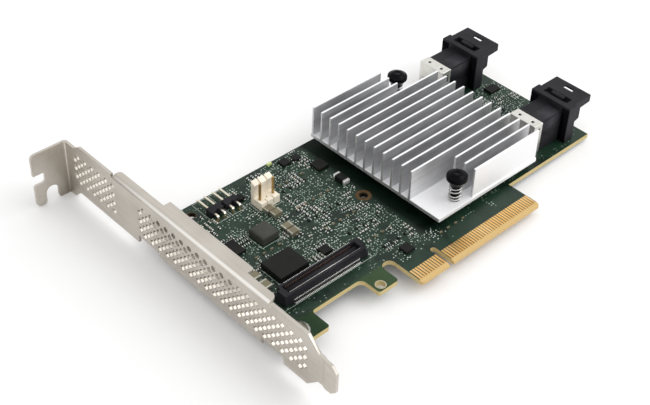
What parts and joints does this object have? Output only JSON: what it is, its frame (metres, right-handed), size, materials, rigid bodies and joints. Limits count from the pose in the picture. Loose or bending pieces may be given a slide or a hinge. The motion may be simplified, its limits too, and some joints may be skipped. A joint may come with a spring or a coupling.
{
  "type": "raid controller card",
  "caption": "Low-profile edge-connector controller card with a full-height vented bracket, a pinned finned heatsink, upright cable ports, a cache-module socket and small headers.",
  "frame": {"origin": "centre of the key notch in the edge connector, at the finger tips, in the middle of the board's thickness", "axes": "+X from the bracket towards the cable ports, +Y from the finger tips towards the board's top edge, +Z out of the component face"},
  "size_m": [0.1514, 0.12, 0.0214],
  "materials": {
    "solder_mask": "satin dark green solder mask with yellowish board edges",
    "gold_plating": "polished gold plating",
    "bracket_metal": "satin warm grey nickel plate",
    "fastener_metal": "bright zinc plate",
    "heatsink_metal": "bright extruded aluminium",
    "thermal_compound": "soft grey pad",
    "chip_package": "matt black moulded package",
    "black_plastic": "black nylon",
    "spring_steel": "bright spring wire",
    "port_plastic": "charcoal connector plastic",
    "shield_metal": "pale tin plate",
    "tin_plating": "dull tin plate",
    "pin_metal": "pale gold flash",
    "cream_plastic": "cream nylon",
    "inductor_body": "grey moulded ferrite",
    "capacitor_ceramic": "tan ceramic",
    "light_lens": "pale yellow green lens"
  },
  "bodies": {
    "root": {"circuit_board": "solder_mask", "edge_contacts_component_side": "gold_plating", "edge_contacts_solder_side": "gold_plating", "io_bracket": "bracket_metal", "bracket_screws": "fastener_metal", "heatsink": "heatsink_metal", "thermal_pad": "thermal_compound", "controller_chip": "chip_package", "push_pin_near": "black_plastic", "push_pin_far": "black_plastic", "pin_spring_near": "spring_steel", "pin_spring_far": "spring_steel", "cable_port_near": "port_plastic", "cable_port_far": "port_plastic", "port_contacts_near": "gold_plating", "port_contacts_far": "gold_plating", "port_shield_near": "shield_metal", "port_shield_far": "shield_metal", "cache_socket": "port_plastic", "socket_contacts_near": "tin_plating", "socket_contacts_far": "tin_plating", "jumper_block_a": "port_plastic", "jumper_block_b": "port_plastic", "jumper_pins_a": "pin_metal", "jumper_pins_b": "pin_metal", "alarm_header": "cream_plastic", "alarm_pins": "pin_metal", "power_inductor": "inductor_body", "memory_chip": "chip_package", "small_chips": "chip_package", "filter_bead": "inductor_body", "filter_bead_caps": "tin_plating", "large_capacitors": "capacitor_ceramic", "large_capacitor_caps": "tin_plating", "small_capacitors": "capacitor_ceramic", "small_resistors": "chip_package", "underside_capacitors": "capacitor_ceramic", "status_light": "light_lens"}
  },
  "joints": []
}
